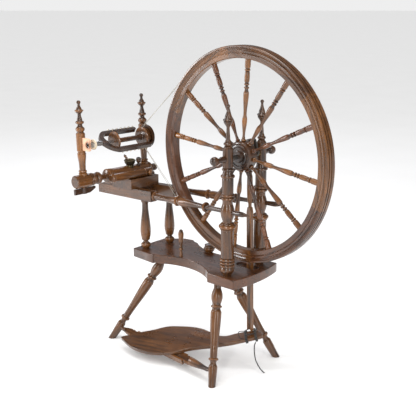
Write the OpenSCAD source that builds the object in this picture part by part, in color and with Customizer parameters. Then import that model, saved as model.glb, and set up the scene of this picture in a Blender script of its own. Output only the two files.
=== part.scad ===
// Treadle spinning wheel. A large spoked wheel turns between two turned posts on a three-legged table.
// A cord band drives the flyer and bobbin, which the sliding mother-of-all carries at the other end.
// +X runs from the flyer end to the wheel end, +Y away from the spinner, +Z up, floor at Z = 0.
// Shapes are drawn about the centre of the drive wheel and moved to the floor frame by placed().

/* [Drive wheel] */
// Outer diameter of the drive wheel
wheel_d = 610; // [600:1:620]
// Depth of the rim from tread to inner face
rim_depth = 35; // [32:1:38]
// Radius of the hub disc that holds the spokes
hub_r = 42; // [40:1:44]
// Throw of the crank
crank_throw = 34; // [30:1:36]

/* [Stand] */
// Height of the wheel axle above the floor
axle_h = 660; // [655:1:665]
// Drop from the axle to the table top
table_drop = 340; // [335:1:345]
// Thickness of the table
table_t = 29; // [26:1:32]
// Thickness of each bench board
bench_board_t = 24; // [20:1:26]

/* [Flyer] */
// Distance from the spindle to the middle of each flyer arm
flyer_arm_r = 43; // [42:1:44]
// Radius of the flyer whorl
whorl_r = 36; // [34:1:38]
// Radius of the bobbin's own whorl
bobbin_whorl_r = 27; // [25:1:29]
// Angle of the flyer about its spindle at rest
flyer_tilt = 26; // [18:1:30]

/* [Treadle] */
// Upward tilt of the treadle at rest
treadle_tilt = 16.5; // [15:0.5:18]
// Thickness of the treadle board
treadle_t = 12; // [10:1:13]

/* [Hidden] */

$fn = 48;
fit = 0.05;                        // radial clearance of a turning or sliding fit
walnut = "#6b4428";
dark_walnut = "#4a2e1c";
steel = "#9a9a98";
leather_tan = "#e2b394";
black_cord = "#1c1b1b";
band_white = "#e6dcc6";

wheel_r = wheel_d / 2;
rim_inner = wheel_r - rim_depth;
band_y = [-9, 1];                  // the band's two turns: bobbin whorl and flyer whorl
groove_depth = 4;
band_side = 2.4;                   // width and height of the band
first_spoke = 5.5;                 // degrees from +Z towards +X
spoke_step = 30;
spoke_lean = [-2, 0, 0, 2, 3, 2, 1, 0, 0, 0, 0, 0]; // hand-set spokes stand a little off their even places
felloe_start = first_spoke - spoke_step / 2;
hub_place = [149, 50.6, axle_h];     // wheel centre from the middle of the footprint
floor_z = -axle_h;
table_z = -table_drop;
table_low = table_z - table_t;

post_y = [-60, 80];                // near and far wheel posts
axle_r = 6;
bearing_r = 9;
pin_angle = 14;                    // crank pin at rest, degrees from +Z towards -X
pin_place = [-crank_throw * sin(pin_angle), crank_throw * cos(pin_angle)];
footman_y = 39;
footman_t = 12;
footman_foot = [-3, 47, -551];
footman_pivot = [-3, 47, -546];    // the lashing cord runs through the foot here

bench_left = -575;
bench_right = -315;
bench_y = [-58, 36];
bench_slope = 3.4;                 // the bench top falls towards the flyer end
bench_top_right = -147.6;
function bench_top(x) = bench_top_right + (x - bench_right) * tan(bench_slope);
function bench_bottom(x) = -180.5 + (x - bench_right) * 0.044;
screw_through = [-440, -11, -172];
screw_r = 8;

maiden_x = -444;
maiden_y = [-225.6, 18];
maiden_lean = 2;                   // the maidens lean away from the wheel
mother_z = -108;
flyer_x = -411;
flyer_z = 5.5;
tube_r = 7;
spindle_r = 5;
front_bar_x = -407;
brake_y = -4;

leg_left_ends = [[-459, -125, floor_z], [-328, 6, table_low]];
leg_near_ends = [[11, -133, floor_z], [-59, -36, table_low]];
leg_far_ends = [[16, 148, floor_z], [-108, 45, table_low]];
treadle_left = [-442, -108, -622];
treadle_right = [2, -120, -622];
treadle_len = norm(treadle_right - treadle_left);
treadle_yaw = atan2(treadle_right[1] - treadle_left[1], treadle_right[0] - treadle_left[0]);
treadle_way = (treadle_right - treadle_left) / treadle_len;
pivot_r = 5;

// ---- outline helpers ----
// Arc from a to b that bulges sag to the left of the way from a to b
function arc(a, b, sag, n = 8) = let (
        d = b - a, span = norm(d), r = (span * span / 4 + sag * sag) / (2 * abs(sag)),
        left = [-d[1], d[0]] / span, c = (a + b) / 2 + left * (sag - sign(sag) * r),
        start = atan2(a[1] - c[1], a[0] - c[0]), sweep = 4 * atan(2 * sag / span))
    [for (i = [0:n]) c + r * [cos(start - sweep * i / n), sin(start - sweep * i / n)]];
// Turned shapes as [radius, height] points. A bead is a half-round ring of radius r and height h
function bead(z, r, h) = [for (a = [-90:30:90]) [r - h / 2 * (1 - cos(a)), z + h / 2 * sin(a)]];
// A swell runs from z0 to z1 and bulges by rise in the middle
function swell(z0, r0, z1, r1, rise, n = 8) =
    [for (i = [0:n]) [r0 + (r1 - r0) * i / n + rise * sin(180 * i / n), z0 + (z1 - z0) * i / n]];
// A flow is an S-shaped change from one radius to another
function flow(z0, r0, z1, r1, n = 6) =
    [for (i = [0:n]) [r0 + (r1 - r0) * (1 - cos(180 * i / n)) / 2, z0 + (z1 - z0) * i / n]];
// A ball that rises out of a neck of radius neck
function ball(z, r, neck) = let (low = -acos(neck / r))
    [for (i = [0:9]) let (a = low + (90 - low) * i / 9) [max(r * cos(a), 0), z + r * sin(a)]];
function tidy(p) = [for (i = [0:len(p) - 1]) if (i == 0 || norm(p[i] - p[i - 1]) > 0.02) p[i]];
// Smooth closed curve through the given corners
function smooth(p, n = 4) = let (m = len(p)) [for (i = [0:m - 1], k = [0:n - 1]) let (
        a = p[(i + m - 1) % m], b = p[i], c = p[(i + 1) % m], d = p[(i + 2) % m], t = k / n)
    (2 * b + (c - a) * t + (2 * a - 5 * b + 4 * c - d) * t * t + (3 * b - a - 3 * c + d) * t * t * t) / 2];

module turned(points) {
    p = tidy(concat([[0, points[0][1]]], points, [[0, points[len(points) - 1][1]]]));
    rotate_extrude() polygon(p);
}
module placed() { translate(hub_place) children(); }
// Children drawn up +Z run from a to b
module between(a, b) {
    v = b - a;
    translate(a) rotate([0, acos(v[2] / norm(v)), atan2(v[1], v[0])]) children();
}
module along_y() { rotate([-90, 0, 0]) children(); }
module rod(a, b, r) { between(a, b) cylinder(h = norm(b - a), r = r); }

// ---- table ----
table_near_cut = [[-277, -76], [-62, -77]];
table_far_cut = [[-62, 96], [-277, 95]];
module table() {
    outline = concat(
        [[-384, -86], [-291, -88], [-289, -79]], arc(table_near_cut[0], table_near_cut[1], 35, 14),
        [[-56, -79], [-54, -87], [43, -82]], arc([43, -82], [30, 125], -14, 10),
        [[-54, 112], [-56, 101]], arc(table_far_cut[0], table_far_cut[1], 35, 14),
        [[-297, 99], [-309, 107], [-341, 99], [-391, 51]]);
    placed() color(walnut) difference() {
        translate([0, 0, table_low]) linear_extrude(table_t) polygon(tidy(outline));
        translate([0, 0, table_low - 1]) linear_extrude(table_t + 2) slot_outline();
        for (leg = [leg_left_ends, leg_near_ends, leg_far_ends]) leg_tenon(leg);
        for (y = post_y) translate([0, y, table_low - 1]) cylinder(h = table_t + 2, r = post_tenon_r);
        for (p = [short_near, short_far]) translate([p[0], p[1], table_z - 20]) cylinder(h = 21, r = 8);
        translate([peg_at[0], peg_at[1], table_z - 15]) cylinder(h = 16, r = 5);
    }
}
module slot_outline() {
    translate([-14, 44]) polygon(concat(loop_turn([22, 0], 17, -90, 90, 20), loop_turn([-22, 0], 17, 90, 270, 20)));
}

// ---- legs ----
leg_tenon_r = 11;
module leg_tenon(ends) {
    v = (ends[1] - ends[0]) / norm(ends[1] - ends[0]);
    between(ends[1] - v * 30, ends[1] + v * 24) rotate([0, 0, 60]) cylinder(h = 54, r = leg_tenon_r);
}
// Turned leg drawn to a length of 340 and stretched to its own length along the axis only by its points
function leg_points(k) = [for (q = concat(
        [[10.8, -16 / k]], flow(0, 10.8, 55, 13), flow(60, 13, 71, 8.8, 5), [[8.8, 74]],
        bead(84, 15, 9), [[10.5, 91]], flow(95, 10.6, 226, 16.2, 8), flow(230, 16.2, 243, 12.2, 5),
        bead(249, 17, 8), [[12.6, 256]], swell(258, 12.6, 306, 11, 5.2, 10),
        flow(308, 11, 336, 12.5, 4), [[12.5, 338]])) [q[0], q[1] * k]];
module leg(ends) {
    span = norm(ends[1] - ends[0]);
    placed() color(walnut) difference() {
        union() {
            between(ends[0], ends[1]) turned(leg_points(span / 340));
            intersection() {
                leg_tenon(ends);
                translate([-1000, -1000, table_low - 8]) cube([2000, 2000, table_t]);
            }
        }
        translate([-1000, -1000, floor_z - 100]) cube([2000, 2000, 100]);
        translate([-1000, -1000, table_low]) difference() {
            cube([2000, 2000, 60]);
            translate([1000, 1000, -table_low]) leg_tenon(ends);
        }
        rod(treadle_left - treadle_way * 12, treadle_left + treadle_way * 17, pivot_r + fit);
        rod(treadle_right - treadle_way * 18, treadle_right + treadle_way * 9, pivot_r + fit);
    }
}
module leg_left() { leg(leg_left_ends); }
module leg_near() { leg(leg_near_ends); }
module leg_far() { leg(leg_far_ends); }

// ---- wheel posts, with their finials ----
post_tenon_r = 11;
post_points = concat(
    [[post_tenon_r, table_low], [post_tenon_r, table_z]], flow(table_z, 12, -320, 21),
    bead(-309, 21.8, 8), bead(-300, 21.8, 8), bead(-291, 21.8, 8), [[18.6, -285], [18.6, -207]],
    flow(-206, 18.4, -200, 21), bead(-193, 25, 11), flow(-186, 20, -180, 14),
    swell(-177, 14, -128, 14.5, 5.4, 10), flow(-126, 14.5, -119, 14.5),
    bead(-112, 20, 9), bead(-103, 20, 8), [[16.2, -97], [16.2, -58]], bead(-49, 20, 9), [[14.6, -41]],
    bead(-30, 16.6, 7), [[14.6, -24], [14.6, 28]], flow(29, 13, 34, 10.4), bead(41.5, 12.4, 9),
    flow(47, 8.6, 56, 6.2), flow(58, 6, 84, 4.4), flow(86, 4.4, 103, 12.5), bead(107.5, 14, 7),
    flow(112, 9.5, 137, 3.6), ball(145, 5.4, 3.6));
module post(y) {
    placed() color(walnut) difference() {
        translate([0, y, 0]) turned(post_points);
        translate([0, y - 40, 0]) along_y() cylinder(h = 80, r = bearing_r);
        rail_core(rail_near_ends);
        rail_core(rail_far_ends);
    }
}
module post_near() { post(post_y[0]); }
module post_far() { post(post_y[1]); }

// ---- rails from the wheel posts to the bench ----
rail_near_ends = [[bench_right, -58, -162.7], [82, -60, -148]];
rail_far_ends = [[bench_right, 36, -158], [82, 92.7, -147]];
rail_core_r = 6.6;
rail_tenon = 16;
function rail_points(middle) = concat(
    [[7, -rail_tenon], [7, 3]], bead(8, 14.3, 8), flow(13, 10.6, 60, 9.4), flow(62, 9.4, middle - 8, 11.2),
    bead(middle, 15, 8), flow(middle + 6, 11, middle + 18, 12.6, 4), flow(middle + 21, 12.6, 216, 7.2),
    bead(228, 14.6, 9), flow(234, 8, 254, 6.8), [[rail_core_r, 258], [rail_core_r, 338]],
    flow(340, 6.6, 364, 7.6, 4), flow(366, 7.6, 392, 3.4, 5), [[2, 395.5]]);
module rail(ends, middle) { placed() color(walnut) between(ends[0], ends[1]) turned(rail_points(middle)); }
module rail_core(ends) { between(ends[0], ends[1]) translate([0, 0, 258]) cylinder(h = 82, r = rail_core_r); }
module rail_tenon_of(ends) {
    between(ends[0], ends[1]) translate([0, 0, -rail_tenon]) cylinder(h = rail_tenon + 2, r = 7);
}
module rail_near() { rail(rail_near_ends, 109); }
module rail_far() { rail(rail_far_ends, 127); }

// ---- upper bench ----
module bench_board(y, post_at) {
    placed() color(walnut) difference() {
        translate([0, y + bench_board_t / 2, 0]) rotate([90, 0, 0]) linear_extrude(bench_board_t)
            polygon([[bench_left, bench_top(bench_left)], [bench_left, bench_bottom(bench_left)],
                [bench_right, bench_bottom(bench_right)], [bench_right, bench_top(bench_right)]]);
        rail_tenon_of(rail_near_ends);
        rail_tenon_of(rail_far_ends);
        translate([post_at[0], post_at[1], -215]) cylinder(h = 47, r = 8);
    }
}
module bench_near() { bench_board(bench_y[0], short_near); }
module bench_far() { bench_board(bench_y[1], short_far); }
slot_low = bench_y[0] + bench_board_t / 2;
slot_high = bench_y[1] - bench_board_t / 2;
bench_end_len = 26;
module bench_end() {
    placed() color(dark_walnut) difference() {
        translate([bench_left, slot_low, -191]) cube([bench_end_len, slot_high - slot_low, 26]);
        screw_axis(-150) cylinder(h = 60, r = screw_r + fit);
    }
}
// Children drawn up +Z start at the given distance along the tension screw's axis
module screw_axis(from) {
    translate(screw_through) rotate([0, 90 - bench_slope, 0]) translate([0, 0, from]) children();
}

// ---- short turned posts between table and bench ----
short_near = [-356, -58];
short_far = [-345, 34];
module short_post(at) {
    top = bench_bottom(at[0]) - 0.7;
    points = concat([[8, table_z - 20], [8, table_z], [10.5, table_z]], flow(table_z, 10.5, -328, 15.6, 5),
        flow(-326, 15.6, -317, 8, 4), flow(-315, 7.6, -311, 12, 3), flow(-310, 13, -291, 16),
        [[15.3, -290], [16.3, -288]], flow(-284, 16.5, top - 14, 9.6, 8),
        flow(top - 12, 9.6, top - 1, 13, 4), [[13, top]]);
    placed() color(walnut) translate([at[0], at[1], 0]) {
        turned(points);
        translate([0, 0, top - 1]) cylinder(h = 14, r = 8);
    }
}
module short_post_near() { short_post(short_near); }
module short_post_far() { short_post(short_far); }

// ---- table trim ----
peg_at = [-217, -36];
module table_peg() {
    placed() color(walnut) translate([peg_at[0], peg_at[1], table_z]) turned(concat(
        [[5, -15], [5, 0]], flow(0, 5.4, 14, 4.6), bead(24, 7, 8), [[4.4, 31]], bead(35, 5.8, 5),
        flow(39, 4.4, 50, 7.2), flow(51, 7.2, 72, 8.6), flow(72, 8.6, 82, 6, 3), [[3, 85.4], [0.5, 86]]));
}
boss_at = [-188, 58];
module table_boss() {
    placed() color(walnut) translate([boss_at[0], boss_at[1], table_z]) turned(concat(
        [[13, 0]], flow(0.5, 13, 6, 16.5, 4), bead(11, 18, 7), flow(15, 15, 19, 14), bead(21.5, 15, 4),
        flow(24, 11, 26, 4, 4)));
}

// ---- axle bearings and caps ----
bearing_len = 24;
module axle_bearings() {
    placed() color("#b08d57") for (y = post_y) translate([0, y, 0]) along_y() difference() {
        translate([0, 0, -bearing_len / 2]) cylinder(h = bearing_len, r = bearing_r);
        translate([0, 0, -bearing_len]) cylinder(h = 2 * bearing_len, r = axle_r + fit);
    }
}
function cap_points(neck, reach) = concat([[bearing_r, 0], [bearing_r, neck]],
    flow(neck + 1, 7, reach - 12, 5.6), ball(reach, 12.8, 5.6));
module axle_knobs() {
    face = bearing_len / 2 + 0.5;
    placed() color(dark_walnut) {
        translate([0, post_y[0] - face, 0]) rotate([90, 0, 0]) turned(cap_points(14, 40));
        translate([0, post_y[1] + face, 0]) along_y() turned(cap_points(7, 32));
    }
}

// ---- drive wheel ----
rim_side = [[rim_inner, 11], [rim_inner + 1.5, 12.8], [rim_inner + 12, 13.2], [rim_inner + 14, 11.6],
    [rim_inner + 16.5, 13.4], [rim_inner + 19, 13.8], [rim_inner + 21, 14.2], [rim_inner + 23, 12.4],
    [rim_inner + 26, 14.4], [rim_inner + 28, 13.4], [rim_inner + 30, 15.5], [wheel_r - 1.5, 15.5],
    [wheel_r, 14]];
function groove_cut(y) = [[wheel_r, y + 2], [wheel_r - groove_depth, y + 1.8],
    [wheel_r - groove_depth, y - 1.8], [wheel_r, y - 2]];
rim_section = concat(rim_side, groove_cut(band_y[1]), groove_cut(band_y[0]),
    [for (i = [len(rim_side) - 1:-1:0]) [rim_side[i][0], -rim_side[i][1]]]);
// Children drawn along +X point the given angle from +Z towards +X
module at_clock(angle) { rotate([0, angle - 90, 0]) children(); }
module felloe(k) {
    start = felloe_start + 60 * k;
    placed() color(walnut) difference() {
        at_clock(start) rotate([-90, 0, 0]) rotate_extrude(angle = 60, $fn = 180) polygon(rim_section);
        for (s = [0, 1]) at_clock(spoke_angle(2 * k + s)) rotate([0, 90, 0])
            translate([0, 0, rim_inner - 2]) cylinder(h = 14, r = spoke_end_r);
    }
}
module felloe_1() { felloe(0); }
module felloe_2() { felloe(1); }
module felloe_3() { felloe(2); }
module felloe_4() { felloe(3); }
module felloe_5() { felloe(4); }
module felloe_6() { felloe(5); }

function spoke_angle(k) = first_spoke + spoke_step * k + spoke_lean[k];
spoke_end_r = 8;
spoke_tenon_r = 5;
spoke_root = hub_r - 12;
spoke_points = concat(
    [[spoke_tenon_r, spoke_root], [spoke_tenon_r, hub_r - 1]], bead(hub_r + 3, 7, 6),
    flow(hub_r + 8, 4.6, hub_r + 15, 3.6, 4), flow(59, 3.6, 100, 7.1), flow(103, 7.1, 117, 4.6, 5),
    flow(119, 4.6, 173, 7.7), flow(176, 7.7, 185, 5.2, 4), bead(191, 7.2, 6), bead(200.5, 7.2, 6),
    flow(205, 5.4, 209, 7, 3), swell(210, 7, 234, 6.4, 0.6, 4), bead(239.5, 8, 6),
    flow(243.5, 6.4, 248, spoke_end_r, 3), [[spoke_end_r, rim_inner + 12]]);
module spoke(k) {
    placed() color(walnut) at_clock(spoke_angle(k)) rotate([0, 90, 0]) turned(spoke_points);
}
module spoke_01() { spoke(0); }
module spoke_02() { spoke(1); }
module spoke_03() { spoke(2); }
module spoke_04() { spoke(3); }
module spoke_05() { spoke(4); }
module spoke_06() { spoke(5); }
module spoke_07() { spoke(6); }
module spoke_08() { spoke(7); }
module spoke_09() { spoke(8); }
module spoke_10() { spoke(9); }
module spoke_11() { spoke(10); }
module spoke_12() { spoke(11); }

hub_half = 24;
hub_face = [[15, hub_half], [17, hub_half - 1], [18, 19], [25, 18.6], [27, 17], [29, 18.6], [33, 18],
    [34.5, 15.5], [36, 17], [39, 16], [hub_r, 13]];
module hub() {
    section = concat([[axle_r, hub_half]], hub_face,
        [for (i = [len(hub_face) - 1:-1:0]) [hub_face[i][0], -hub_face[i][1]]], [[axle_r, -hub_half]]);
    placed() color(dark_walnut) difference() {
        rotate([90, 0, 0]) rotate_extrude() polygon(section);
        for (k = [0:11]) at_clock(spoke_angle(k)) rotate([0, 90, 0])
            translate([0, 0, spoke_root]) cylinder(h = 20, r = spoke_tenon_r);
    }
}

web_t = 6;
web_r = 11;
web_y = [26, 52];                  // near face of each crank web
stub_gap = 0.5;                    // the crank pin stops this far short of the footman's near face
stub_gap_far = 3;                  // and this far short of its far face
module crank_web(y) {
    open = acos(2 / crank_throw);
    translate([0, y, 0]) along_y() rotate([0, 0, -90 - pin_angle]) linear_extrude(web_t)
        polygon(concat(loop_turn([0, 0], web_r, open, 360 - open, 26),
            loop_turn([crank_throw, 0], web_r - 2, -open, open, 22)));
}
module axle() {
    placed() color(steel) {
        translate([0, post_y[0] - bearing_len / 2, 0]) along_y()
            cylinder(h = web_y[0] + 1 - post_y[0] + bearing_len / 2, r = axle_r);
        translate([0, web_y[1] + web_t - 1, 0]) along_y()
            cylinder(h = post_y[1] + bearing_len / 2 - web_y[1] - web_t + 1, r = axle_r);
        for (y = web_y) crank_web(y);
        translate([pin_place[0], web_y[0] + web_t - 1, pin_place[1]]) along_y()
            cylinder(h = footman_y - footman_t / 2 - stub_gap - web_y[0] - web_t + 1, r = 5);
        translate([pin_place[0], footman_y + footman_t / 2 + stub_gap_far, pin_place[1]]) along_y()
            cylinder(h = web_y[1] - footman_y - footman_t / 2 - stub_gap_far + 1, r = 5);
    }
}

// ---- drive band: two turns, each round the wheel and one whorl ----
function loop_turn(c, r, a0, a1, n) = [for (i = [0:n]) let (a = a0 + (a1 - a0) * i / n) c + r * [cos(a), sin(a)]];
function band_outline(whorl_floor, off) = let (
        c = [flyer_x, flyer_z], span = norm(c), big = wheel_r - 2 + off, small = whorl_floor + 2 + off,
        line = atan2(-c[1], -c[0]), open = acos((big - small) / span))
    concat(loop_turn([0, 0], big, line + 180 - open, line - 180 + open, 72),
        loop_turn(c, small, line - 180 + open, line - 180 - open, 20));
module band_loop(y, whorl_floor) {
    translate([0, y + band_side / 2, 0]) rotate([90, 0, 0]) linear_extrude(band_side) difference() {
        polygon(band_outline(whorl_floor, band_side / 2));
        polygon(band_outline(whorl_floor, -band_side / 2));
    }
}
module drive_band() {
    placed() color(band_white) {
        band_loop(band_y[0], bobbin_whorl_r - groove_depth);
        band_loop(band_y[1], whorl_r - groove_depth);
    }
}

// ---- treadle, drawn flat along its pivot bar and tilted into place ----
module on_treadle() {
    placed() translate(treadle_left) rotate([0, 0, treadle_yaw]) rotate([treadle_tilt, 0, 0]) children();
}
board_low = 5;
board_corners = [[72, -44], [92, -20], [114, 8], [142, 37], [172, 73], [218, 99], [254, 114], [285, 121],
    [315, 122], [350, 122], [376, 132], [396, 157], [418, 180], [440, 200], [453, 203], [470, 195],
    [472, 184], [438, 143], [414, 115], [390, 92], [366, 70], [340, 49], [315, 26], [290, -4],
    [254, -32], [220, -49], [190, -57], [155, -61], [120, -58], [90, -51]];
module treadle_board() {
    on_treadle() color(walnut) translate([0, 0, board_low]) linear_extrude(treadle_t)
        polygon(smooth(board_corners));
}
module treadle_bar() {
    end = treadle_len;
    on_treadle() color(walnut) difference() {
        union() {
            rotate([0, 90, 0]) turned(concat([[pivot_r, -9], [pivot_r, 18]], flow(19, 6, 62, 12.5),
                bead(70, 13.5, 6), [[11, 76], [11, 90]]));
            translate([86, -15, -13]) cube([238, 30, 18]);
            rotate([0, 90, 0]) turned(concat([[11, 320], [11, 328]], bead(334, 14, 7), bead(343, 14, 6),
                flow(348, 13, end - 22, 6.4), [[pivot_r, end - 20], [pivot_r, end + 7]]));
        }
        translate([40, -40, board_low]) cube([310, 200, 40]);
    }
}
// Closed loop of cord, cord_w thick, round a w by h block
module cord_loop(w, h, cord_w) {
    linear_extrude(cord_w) difference() {
        square([w + 2 * cord_w, h + 2 * cord_w], center = true);
        square([w, h], center = true);
    }
}
cord_d = 3.4;
arm_angle = 47;
arm_middle = [441, 176];
strap_side = [-4.7, 21.5];         // straps pass on both sides of the footman
module on_arm() {
    on_treadle() translate([arm_middle[0], arm_middle[1], board_low + treadle_t / 2])
        rotate([0, 0, arm_angle]) children();
}
module lashing() {
    over = treadle_t / 2 + cord_d + 0.2;
    on_arm() color(black_cord) {
        for (x = [-19.2, -15.6, 10.4, 14]) translate([x, 0, 0]) rotate([90, 0, 90])
            cord_loop(47, treadle_t + 0.4, cord_d);
        for (y = strap_side) translate([-19.2, y - cord_d / 2, over]) cube([36.6, cord_d, cord_d]);
        for (y = strap_side) translate([-19.2, y - cord_d / 2, -over - cord_d]) cube([36.6, cord_d, cord_d]);
    }
}

// ---- free end of the lashing cord ----
tail_route = [[30, 36, -571], [28, 33, -578], [28, 32, -587], [28, 32, -597], [29, 32, -608],
    [31, 32, -617], [34, 32, -627], [39, 33, -636], [45, 33, -643], [53, 32, -649], [62, 31, -653],
    [70, 31, -655.5]];
tail_sides = 8;
module cord_tube(route, d) {
    last = len(route) - 1;
    ways = [for (i = [0:last]) let (v = route[min(i + 1, last)] - route[max(i - 1, 0)]) v / norm(v)];
    rings = [for (i = [0:last], s = [0:tail_sides - 1]) let (
            side = cross(ways[i], [0, 1, 0]), u = side / norm(side), w = cross(ways[i], u), a = 360 * s / tail_sides)
        route[i] + d / 2 * (u * cos(a) + w * sin(a))];
    quads = [for (i = [0:last - 1], s = [0:tail_sides - 1]) let (t = (s + 1) % tail_sides)
        [i * tail_sides + s, i * tail_sides + t, (i + 1) * tail_sides + t, (i + 1) * tail_sides + s]];
    ends = [[for (s = [tail_sides - 1:-1:0]) s], [for (s = [0:tail_sides - 1]) last * tail_sides + s]];
    polyhedron(points = rings, faces = concat(quads, ends));
}
module cord_tail() { placed() color(black_cord) cord_tube(tail_route, cord_d); }

// ---- footman: turned above, square below ----
module footman() {
    top = [pin_place[0], footman_y, pin_place[1]];
    low = footman_foot;
    reach = norm(top - low);
    eye_r = 9.5;
    swing = [atan2(low[1] - top[1], top[2] - low[2]), atan2(low[0] - top[0], low[2] - top[2]) + 180, 0];
    placed() color(walnut) difference() {
        translate(top) rotate(swing) difference() {
            union() {
                translate([0, footman_t / 2, 0]) rotate([90, 0, 0]) cylinder(h = footman_t, r = eye_r);
                translate([-5, -footman_t / 2, -60]) cube([10, footman_t, 60]);
                turned(concat([[6.4, -192]], flow(-190, 5, -184, 5), flow(-182, 5, -172, 8, 4),
                    swell(-170, 8, -104, 8, 0.6), flow(-102, 8, -92, 6.2), bead(-86, 8, 6),
                    flow(-80, 6, -60, 5.6), [[5.6, -50]]));
                translate([0, footman_t / 2, 0]) rotate([90, 0, 0]) linear_extrude(footman_t)
                    polygon(concat([[-8, -reach + 6], [-8, -206], [-5, -192], [5, -192], [8, -206],
                        [8, -reach + 6]], arc([8, -reach + 6], [-8, -reach + 6], -5.9, 6)));
            }
            translate([0, 20, 0]) rotate([90, 0, 0]) cylinder(h = 40, r = 5.6);
        }
        rod(footman_pivot - treadle_way * 15, footman_pivot + treadle_way * 15, 2.2);
    }
}

// ---- mother-of-all: sled, bars, maidens ----
sled_x = [-486, -392];
sled_y = [-82, 32];
sled_top = -121;
sled_gap = 0.3;
module sled() {
    placed() color(walnut) difference() {
        union() {
            translate([0, sled_y[1], 0]) rotate([90, 0, 0]) linear_extrude(sled_y[1] - sled_y[0]) polygon([
                [sled_x[0], sled_top], [sled_x[0], bench_top(sled_x[0]) + sled_gap],
                [sled_x[1], bench_top(sled_x[1]) + sled_gap], [sled_x[1], sled_top]]);
            translate([-470, slot_low + 4, -188]) cube([60, slot_high - slot_low - 8, 60]);
        }
        mother_core(21, -180, 60);
        screw_axis(-60) cylinder(h = 140, r = screw_r + fit);
        maiden_hole(1);
    }
}
// Plain cylinder of the mother bar, for the saddles that it lies in
module mother_core(r, from, to) {
    translate([maiden_x, from, mother_z]) along_y() cylinder(h = to - from, r = r);
}
// Children are drawn about the mother bar's axis at a maiden's foot, and lean with the maiden
module at_maiden(k) {
    translate([maiden_x, maiden_y[k], mother_z]) rotate([0, -maiden_lean, 0]) children();
}
maiden_tenon_r = 8;
maiden_seat_r = 13.3;
module maiden_hole(k) {
    at_maiden(k) {
        translate([0, 0, -32]) cylinder(h = 70, r = maiden_tenon_r + fit * (1 - k));
        translate([0, 0, 16 - fit * (1 - k)]) cylinder(h = 30, r = maiden_seat_r);
    }
}
key_top = -22;
module maiden_key() {
    placed() color(dark_walnut) at_maiden(0) {
        translate([4, 0, 0]) rotate([0, -90, 0]) linear_extrude(8)
            polygon([[key_top - 17, -35], [key_top, -35], [key_top, 41], [key_top - 6, 41], [key_top - 17, 20]]);
        translate([0, 0, key_top - 17]) cylinder(h = 17, r = 9);
    }
}
mother_start = -258;
mother_points = concat(
    [[17, 0], [20, 3], [20, 52]], bead(57, 19.6, 5), bead(64, 19.6, 6), [[17.5, 69], [17.5, 74]],
    bead(86, 19.4, 18), flow(97, 10, 110, 8.6), [[8.6, 114]], flow(116, 10, 119, 20, 3),
    bead(124, 23, 8), bead(132, 22.5, 7), bead(139, 22, 6), [[21, 143], [21, 284], [18, 286]],
    bead(292, 21, 9), flow(298, 14, 304, 8), ball(316, 12, 8));
module mother_bar() {
    placed() color(walnut) difference() {
        translate([maiden_x, mother_start, mother_z]) along_y() turned(mother_points);
        maiden_hole(0);
        maiden_hole(1);
    }
}
front_start = -150;
module front_bar() {
    placed() color(walnut) difference() {
        translate([front_bar_x, front_start, mother_z]) along_y() turned(concat(
            [[10, 0], [12, 1.5]], bead(5, 14, 6), [[11, 10], [12.5, 12], [12.5, 132], [13.6, 134],
            [13.6, 137], [12, 139], [12, 160], [8, 163]]));
        translate([front_bar_x - 8, brake_y, mother_z]) rotate([0, 90, 0]) cylinder(h = 30, r = 4 + fit);
        translate([-430, sled_y[0] - 1, sled_top - 30]) cube([60, 120, 30]);
    }
}
// Maiden profile with heights from the mother bar's axis
maiden_points = concat(
    [[maiden_tenon_r, -22], [maiden_tenon_r, 16]], flow(16, 12, 24, 13), bead(30, 12.8, 7),
    flow(35, 9.6, 46, 10), flow(48, 10, 82, 13.2), bead(84, 13.4, 3), flow(88, 11.6, 90, 11.6, 2),
    [[13.6, 93], [13.6, 96], [12.8, 97], [13.6, 98], [13.6, 135], [12.8, 136], [13.6, 137], [13.6, 144]],
    flow(145, 12.4, 149, 10, 3), swell(150, 10.4, 166, 8, 4.6), flow(167, 7.6, 171, 7.2, 3),
    bead(177.6, 12.9, 9), flow(183, 8.4, 200, 5.2), flow(202, 5.2, 209, 10.6, 4), bead(212.6, 13, 6),
    flow(217, 8.4, 228, 4), ball(237, 6.2, 4));
leather_t = 8;
leather_x = [-461, -403];
leather_z = [-13, 25];
module maiden(k) {
    placed() color(walnut) difference() {
        at_maiden(k) turned(maiden_points);
        translate([-470, maiden_y[k] - leather_t / 2, leather_z[0]])
            cube([50, leather_t, leather_z[1] - leather_z[0]]);
    }
}
module maiden_near() { maiden(0); }
module maiden_far() { maiden(1); }
module leather(k, hole_r) {
    c = 6;
    low = leather_z[0];
    high = leather_z[1];
    placed() color(leather_tan) translate([0, maiden_y[k] + leather_t / 2, 0]) rotate([90, 0, 0])
        linear_extrude(leather_t) difference() {
            polygon(concat([[leather_x[0], high], [leather_x[0], low]],
                arc([leather_x[1] - c, low], [leather_x[1], low + c], -1.8, 4),
                arc([leather_x[1], high - c], [leather_x[1] - c, high], -1.8, 4)));
            translate([flyer_x, flyer_z]) circle(r = hole_r);
        }
}
module leather_near() { leather(0, tube_r + 1.9); }
module leather_far() { leather(1, spindle_r + fit); }

cup_at = [-440, -46];
cup_low = mother_z + 20;
module cup() {
    placed() color("#5b5234") difference() {
        translate([cup_at[0], cup_at[1], cup_low - 6]) rotate_extrude() polygon(concat(
            [[0, 0], [12, 0], [12, 6]], flow(8, 11.5, 18, 17, 5), bead(23, 18.6, 6), [[15, 27], [13.5, 20]],
            flow(19, 13.5, 9, 8, 4), [[0, 8.6]]));
        mother_core(21.1, -120, 20);
    }
}
hook_low = [-439, -44, -83.8];
hook_high = [-446, -68, -44];
module threading_hook() {
    placed() color("#8a5a36") between(hook_low, hook_high) {
        turned(concat([[2.2, 0]], flow(0.5, 2.4, 20, 2.6), bead(26, 4.4, 6), bead(33, 4.8, 7),
            flow(37, 3, 40, 1, 3)));
    }
}

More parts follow.
